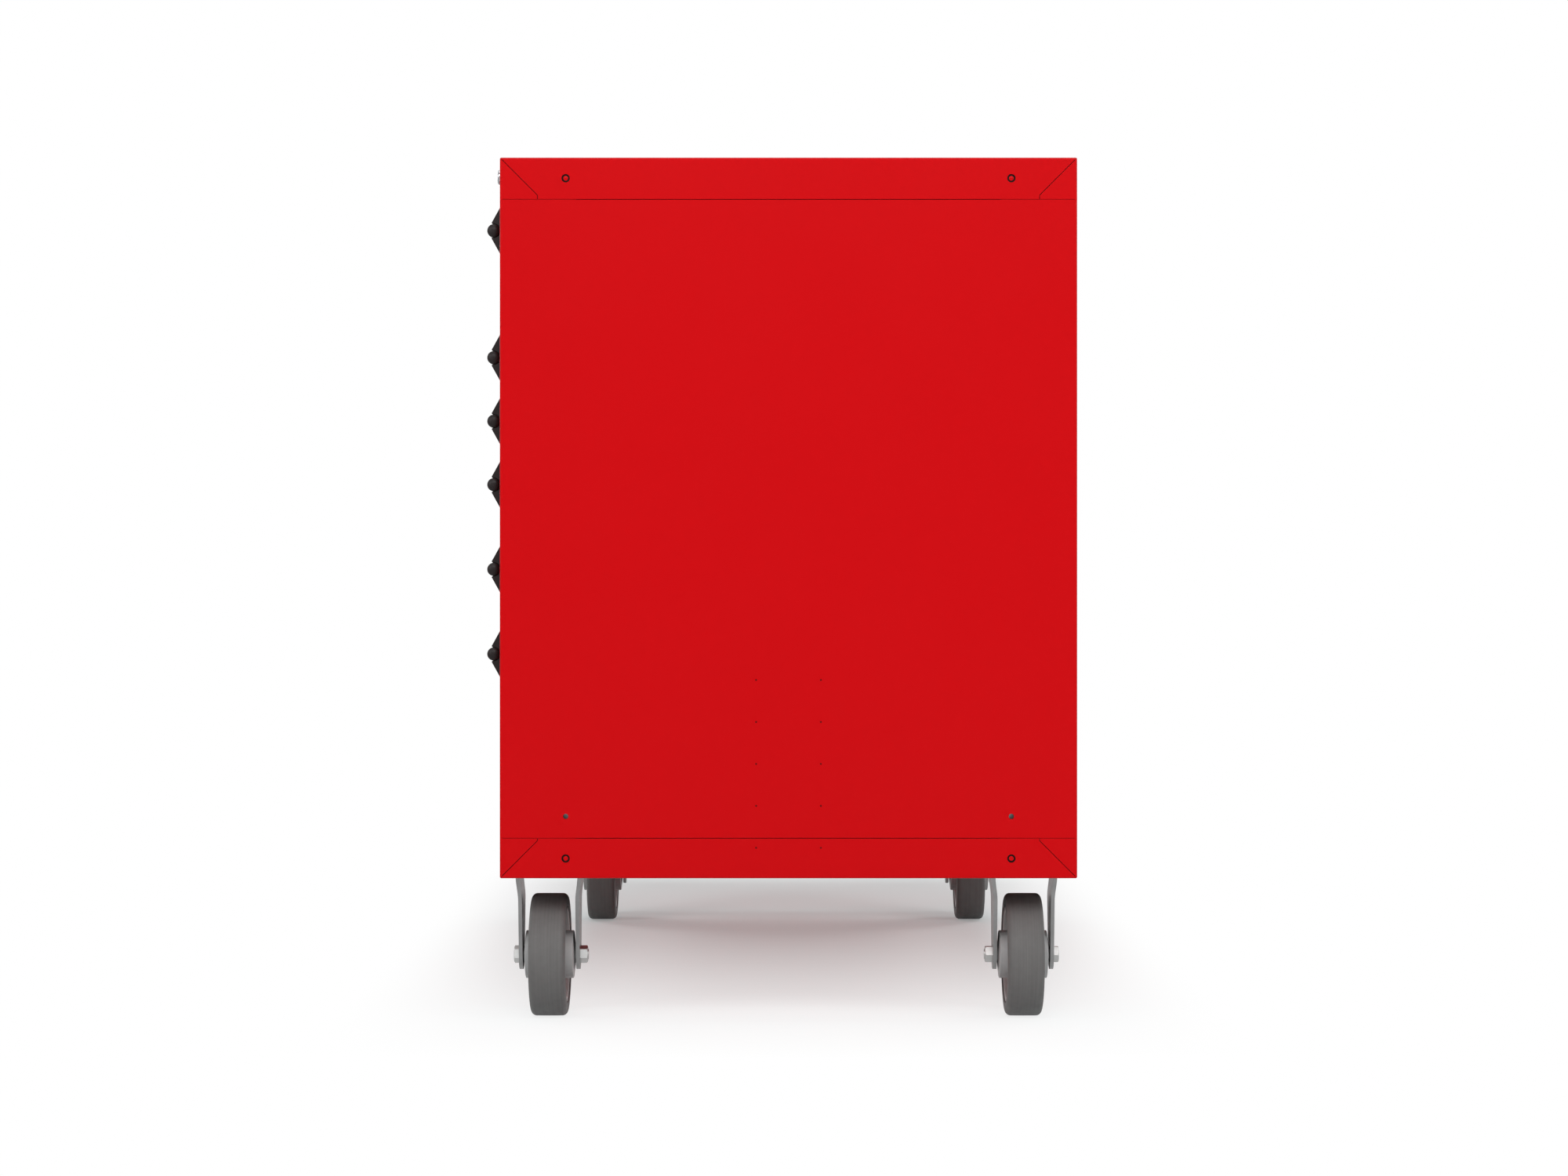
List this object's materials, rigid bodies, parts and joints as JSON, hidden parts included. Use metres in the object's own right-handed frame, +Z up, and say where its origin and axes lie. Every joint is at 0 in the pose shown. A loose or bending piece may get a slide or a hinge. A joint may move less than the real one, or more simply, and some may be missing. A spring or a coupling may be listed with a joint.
{
  "type": "split bank tool cabinet",
  "caption": "Red rolling steel tool cabinet: a full-width drawer above two banks of telescopic drawers with black full-width pulls, a keyed gang lock, and rigid and swivel casters.",
  "frame": {"origin": "on the floor under the middle of the cabinet's overall box", "axes": "+X to the right seen from the front, where the rigid casters and the lock are; -Y towards the drawer fronts; +Z up"},
  "size_m": [1.422, 0.7234, 1.059],
  "materials": {
    "red_paint": "red powder coat, satin",
    "zinc_steel": "bright zinc plate",
    "lock_chrome": "polished",
    "black_plastic": "satin black",
    "grey_rubber": "grey non-marking rubber",
    "grey_plastic": "moulded grey plastic"
  },
  "bodies": {
    "cabinet": {"top_pan": "red_paint", "base_frame": "red_paint", "side_panel_right": "red_paint", "side_panel_left": "red_paint", "back_panel": "red_paint", "centre_partition": "red_paint", "cross_rail": "red_paint", "slide_posts": "zinc_steel", "fixed_rails": "zinc_steel", "ringed_screws": "red_paint", "lock_housing": "lock_chrome", "backing_plates": "zinc_steel", "caster_bolts": "zinc_steel", "rigid_brackets": "zinc_steel", "rigid_axle_bolts": "zinc_steel", "swivel_plates": "zinc_steel"},
    "lock_plug": {"lock_plug": "lock_chrome"},
    "lock_frame": {"lock_frame": "zinc_steel"},
    "wheel_front_right": {"tyre_front_right": "grey_rubber", "hub_front_right": "grey_plastic"},
    "swivel_front": {"swivel_fork_front": "zinc_steel", "swivel_axle_front": "zinc_steel"},
    "wheel_front_left": {"tyre_front_left": "grey_rubber", "hub_front_left": "grey_plastic"},
    "wheel_rear_right": {"tyre_rear_right": "grey_rubber", "hub_rear_right": "grey_plastic"},
    "swivel_rear": {"swivel_fork_rear": "zinc_steel", "swivel_axle_rear": "zinc_steel"},
    "wheel_rear_left": {"tyre_rear_left": "grey_rubber", "hub_rear_left": "grey_plastic"},
    "drawer_top": {"drawer_top_tray": "red_paint", "drawer_top_pull": "black_plastic"},
    "drawer_top_slide": {"drawer_top_carriage": "zinc_steel"},
    "drawer_right_1": {"drawer_right_1_tray": "red_paint", "drawer_right_1_pull": "black_plastic"},
    "drawer_right_1_slide": {"drawer_right_1_carriage": "zinc_steel"},
    "drawer_right_2": {"drawer_right_2_tray": "red_paint", "drawer_right_2_pull": "black_plastic"},
    "drawer_right_2_slide": {"drawer_right_2_carriage": "zinc_steel"},
    "drawer_right_3": {"drawer_right_3_tray": "red_paint", "drawer_right_3_pull": "black_plastic"},
    "drawer_right_3_slide": {"drawer_right_3_carriage": "zinc_steel"},
    "drawer_right_4": {"drawer_right_4_tray": "red_paint", "drawer_right_4_pull": "black_plastic"},
    "drawer_right_4_slide": {"drawer_right_4_carriage": "zinc_steel"},
    "drawer_right_5": {"drawer_right_5_tray": "red_paint", "drawer_right_5_pull": "black_plastic"},
    "drawer_right_5_slide": {"drawer_right_5_carriage": "zinc_steel"},
    "drawer_left_1": {"drawer_left_1_tray": "red_paint", "drawer_left_1_pull": "black_plastic"},
    "drawer_left_1_slide": {"drawer_left_1_carriage": "zinc_steel"},
    "drawer_left_2": {"drawer_left_2_tray": "red_paint", "drawer_left_2_pull": "black_plastic"},
    "drawer_left_2_slide": {"drawer_left_2_carriage": "zinc_steel"},
    "drawer_left_3": {"drawer_left_3_tray": "red_paint", "drawer_left_3_pull": "black_plastic"},
    "drawer_left_3_slide": {"drawer_left_3_carriage": "zinc_steel"},
    "drawer_left_4": {"drawer_left_4_tray": "red_paint", "drawer_left_4_pull": "black_plastic"},
    "drawer_left_4_slide": {"drawer_left_4_carriage": "zinc_steel"}
  },
  "joints": [
    {"name": "lock_lift", "type": "slide", "parent": "cabinet", "child": "lock_frame", "axis": [0, 0, 1], "range_m": [0, 0.01]},
    {"name": "lock_turn", "type": "hinge", "parent": "cabinet", "child": "lock_plug", "pos_m": [0.651, -0.3433, 1.042], "axis": [0, -1, 0], "range_deg": [0, 90]},
    {"name": "roll_front_right", "type": "hinge", "parent": "cabinet", "child": "wheel_front_right", "pos_m": [0.616, -0.2883, 0.0762], "axis": [0, 1, 0], "continuous": true},
    {"name": "swivel_front", "type": "hinge", "parent": "cabinet", "child": "swivel_front", "pos_m": [-0.616, -0.2883, 0.1905], "axis": [0, 0, 1], "continuous": true},
    {"name": "roll_front_left", "type": "hinge", "parent": "swivel_front", "child": "wheel_front_left", "pos_m": [-0.578, -0.2883, 0.0762], "axis": [0, 1, 0], "continuous": true},
    {"name": "roll_rear_right", "type": "hinge", "parent": "cabinet", "child": "wheel_rear_right", "pos_m": [0.616, 0.3017, 0.0762], "axis": [0, 1, 0], "continuous": true},
    {"name": "swivel_rear", "type": "hinge", "parent": "cabinet", "child": "swivel_rear", "pos_m": [-0.616, 0.3017, 0.1905], "axis": [0, 0, 1], "continuous": true},
    {"name": "roll_rear_left", "type": "hinge", "parent": "swivel_rear", "child": "wheel_rear_left", "pos_m": [-0.578, 0.3017, 0.0762], "axis": [0, 1, 0], "continuous": true},
    {"name": "drawer_top_open", "type": "slide", "parent": "cabinet", "child": "drawer_top", "axis": [0, -1, 0], "range_m": [0, 0.6]},
    {"name": "drawer_top_carriage_run", "type": "slide", "parent": "cabinet", "child": "drawer_top_slide", "axis": [0, -1, 0], "range_m": [0, 0.3]},
    {"name": "drawer_right_1_open", "type": "slide", "parent": "cabinet", "child": "drawer_right_1", "axis": [0, -1, 0], "range_m": [0, 0.6]},
    {"name": "drawer_right_1_carriage_run", "type": "slide", "parent": "cabinet", "child": "drawer_right_1_slide", "axis": [0, -1, 0], "range_m": [0, 0.3]},
    {"name": "drawer_right_2_open", "type": "slide", "parent": "cabinet", "child": "drawer_right_2", "axis": [0, -1, 0], "range_m": [0, 0.6]},
    {"name": "drawer_right_2_carriage_run", "type": "slide", "parent": "cabinet", "child": "drawer_right_2_slide", "axis": [0, -1, 0], "range_m": [0, 0.3]},
    {"name": "drawer_right_3_open", "type": "slide", "parent": "cabinet", "child": "drawer_right_3", "axis": [0, -1, 0], "range_m": [0, 0.6]},
    {"name": "drawer_right_3_carriage_run", "type": "slide", "parent": "cabinet", "child": "drawer_right_3_slide", "axis": [0, -1, 0], "range_m": [0, 0.3]},
    {"name": "drawer_right_4_open", "type": "slide", "parent": "cabinet", "child": "drawer_right_4", "axis": [0, -1, 0], "range_m": [0, 0.6]},
    {"name": "drawer_right_4_carriage_run", "type": "slide", "parent": "cabinet", "child": "drawer_right_4_slide", "axis": [0, -1, 0], "range_m": [0, 0.3]},
    {"name": "drawer_right_5_open", "type": "slide", "parent": "cabinet", "child": "drawer_right_5", "axis": [0, -1, 0], "range_m": [0, 0.6]},
    {"name": "drawer_right_5_carriage_run", "type": "slide", "parent": "cabinet", "child": "drawer_right_5_slide", "axis": [0, -1, 0], "range_m": [0, 0.3]},
    {"name": "drawer_left_1_open", "type": "slide", "parent": "cabinet", "child": "drawer_left_1", "axis": [0, -1, 0], "range_m": [0, 0.6]},
    {"name": "drawer_left_1_carriage_run", "type": "slide", "parent": "cabinet", "child": "drawer_left_1_slide", "axis": [0, -1, 0], "range_m": [0, 0.3]},
    {"name": "drawer_left_2_open", "type": "slide", "parent": "cabinet", "child": "drawer_left_2", "axis": [0, -1, 0], "range_m": [0, 0.6]},
    {"name": "drawer_left_2_carriage_run", "type": "slide", "parent": "cabinet", "child": "drawer_left_2_slide", "axis": [0, -1, 0], "range_m": [0, 0.3]},
    {"name": "drawer_left_3_open", "type": "slide", "parent": "cabinet", "child": "drawer_left_3", "axis": [0, -1, 0], "range_m": [0, 0.6]},
    {"name": "drawer_left_3_carriage_run", "type": "slide", "parent": "cabinet", "child": "drawer_left_3_slide", "axis": [0, -1, 0], "range_m": [0, 0.3]},
    {"name": "drawer_left_4_open", "type": "slide", "parent": "cabinet", "child": "drawer_left_4", "axis": [0, -1, 0], "range_m": [0, 0.6]},
    {"name": "drawer_left_4_carriage_run", "type": "slide", "parent": "cabinet", "child": "drawer_left_4_slide", "axis": [0, -1, 0], "range_m": [0, 0.3]}
  ],
  "couplings": [
    {"joint": "lock_turn", "follows": "lock_lift", "rad_per_m": 157},
    {"joint": "drawer_top_carriage_run", "follows": "drawer_top_open", "ratio": 0.5},
    {"joint": "drawer_right_1_carriage_run", "follows": "drawer_right_1_open", "ratio": 0.5},
    {"joint": "drawer_right_2_carriage_run", "follows": "drawer_right_2_open", "ratio": 0.5},
    {"joint": "drawer_right_3_carriage_run", "follows": "drawer_right_3_open", "ratio": 0.5},
    {"joint": "drawer_right_4_carriage_run", "follows": "drawer_right_4_open", "ratio": 0.5},
    {"joint": "drawer_right_5_carriage_run", "follows": "drawer_right_5_open", "ratio": 0.5},
    {"joint": "drawer_left_1_carriage_run", "follows": "drawer_left_1_open", "ratio": 0.5},
    {"joint": "drawer_left_2_carriage_run", "follows": "drawer_left_2_open", "ratio": 0.5},
    {"joint": "drawer_left_3_carriage_run", "follows": "drawer_left_3_open", "ratio": 0.5},
    {"joint": "drawer_left_4_carriage_run", "follows": "drawer_left_4_open", "ratio": 0.5}
  ]
}
